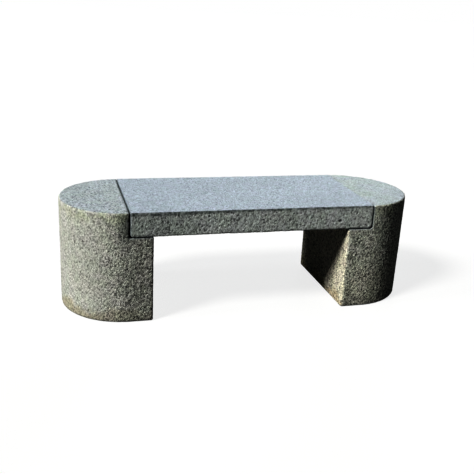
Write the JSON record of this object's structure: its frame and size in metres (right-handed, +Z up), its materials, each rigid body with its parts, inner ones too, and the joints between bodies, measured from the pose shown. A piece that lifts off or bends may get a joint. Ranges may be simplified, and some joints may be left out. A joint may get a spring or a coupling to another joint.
{
  "type": "backless bench",
  "caption": "Backless granite street bench: a flat seat slab let flush into the rebates of two round-ended pedestals, bedded on pads and pinned with hidden steel dowels.",
  "frame": {"origin": "on the ground at the centre of the footprint", "axes": "+X along the length, towards the right-hand pedestal; -Y is the front; +Z up"},
  "size_m": [1.49, 0.5, 0.45],
  "materials": {
    "picked_granite": "coarse bush-hammered",
    "seat_granite": "fine bush-hammered",
    "pad_rubber": "matte",
    "stainless_steel": "satin",
    "setting_resin": "cast, slightly rough"
  },
  "bodies": {
    "root": {"left_pedestal": "picked_granite", "right_pedestal": "picked_granite", "seat_slab": "seat_granite", "setting_pad_left_front": "pad_rubber", "setting_pad_left_back": "pad_rubber", "setting_pad_right_front": "pad_rubber", "setting_pad_right_back": "pad_rubber", "dowel_left_front": "stainless_steel", "dowel_left_back": "stainless_steel", "dowel_right_front": "stainless_steel", "dowel_right_back": "stainless_steel", "dowel_resin_left_front": "setting_resin", "dowel_resin_left_back": "setting_resin", "dowel_resin_right_front": "setting_resin", "dowel_resin_right_back": "setting_resin"}
  },
  "joints": []
}
